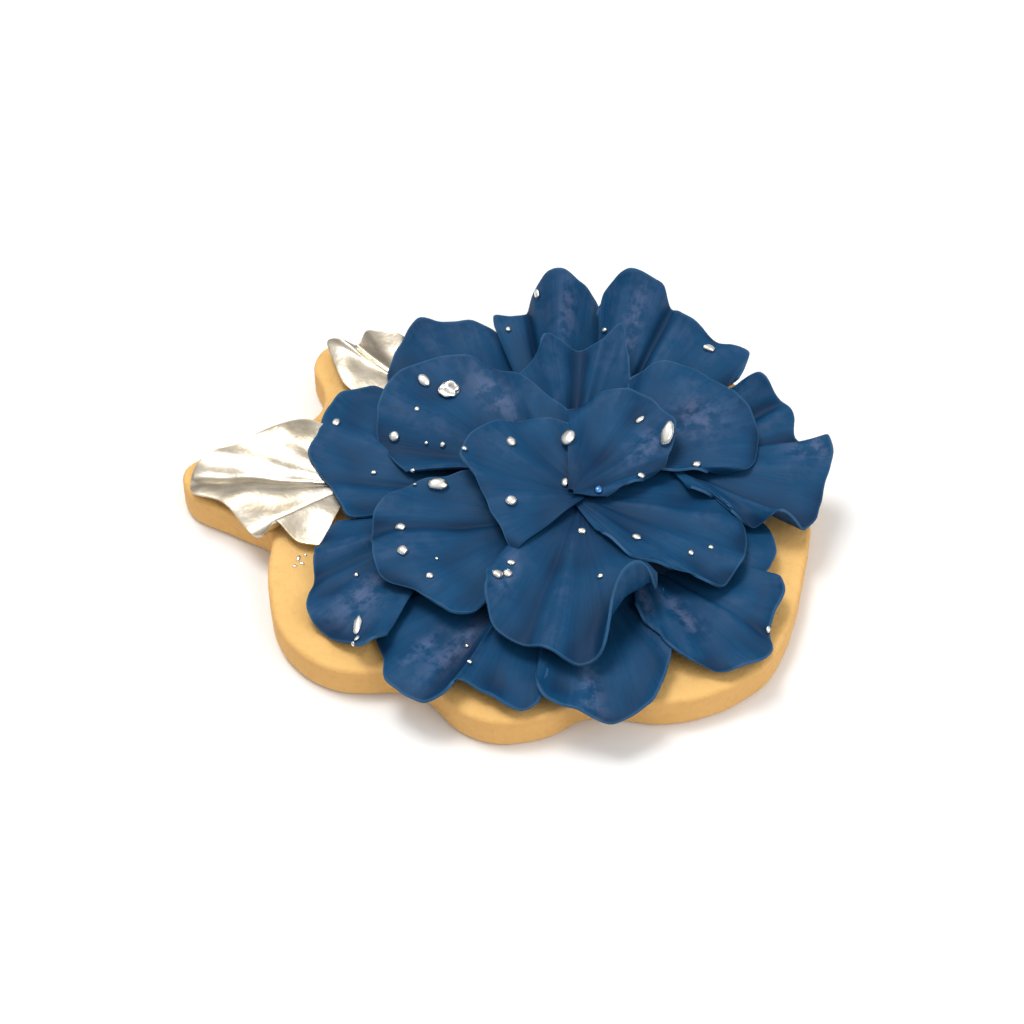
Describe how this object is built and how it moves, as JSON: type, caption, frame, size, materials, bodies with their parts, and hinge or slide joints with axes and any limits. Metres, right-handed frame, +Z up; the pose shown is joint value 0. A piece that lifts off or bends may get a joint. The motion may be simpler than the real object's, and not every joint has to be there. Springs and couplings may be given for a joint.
{
  "type": "iced sugar cookie",
  "caption": "Lobed golden sugar cookie topped with a ruffled navy sugar-paste flower and silvered leaves.",
  "frame": {"origin": "on the flat underside of the biscuit, under the middle of the flower", "axes": "+Z up out of the flower; +X away from the long leaf lobe, which points to -X; +Y towards the tall back petals"},
  "size_m": [0.0995, 0.0785, 0.0196],
  "materials": {
    "baked_dough": "matte baked dough",
    "petal_paste": "satin sugar paste",
    "silvered_paste": "rubbed silver lustre"
  },
  "bodies": {
    "root": {"biscuit": "baked_dough", "leaf_left": "silvered_paste", "leaf_back": "silvered_paste", "outer_back_left": "petal_paste", "outer_right_low": "petal_paste", "outer_back": "petal_paste", "outer_back_right": "petal_paste", "outer_front_left": "petal_paste", "outer_front": "petal_paste", "outer_front_right": "petal_paste", "outer_left_low": "petal_paste", "outer_left": "petal_paste", "middle_back": "petal_paste", "middle_left": "petal_paste", "middle_front_left": "petal_paste", "middle_front": "petal_paste", "middle_front_right": "petal_paste", "outer_right": "petal_paste", "middle_right": "petal_paste", "inner_left": "petal_paste", "inner_right": "petal_paste"}
  },
  "joints": []
}
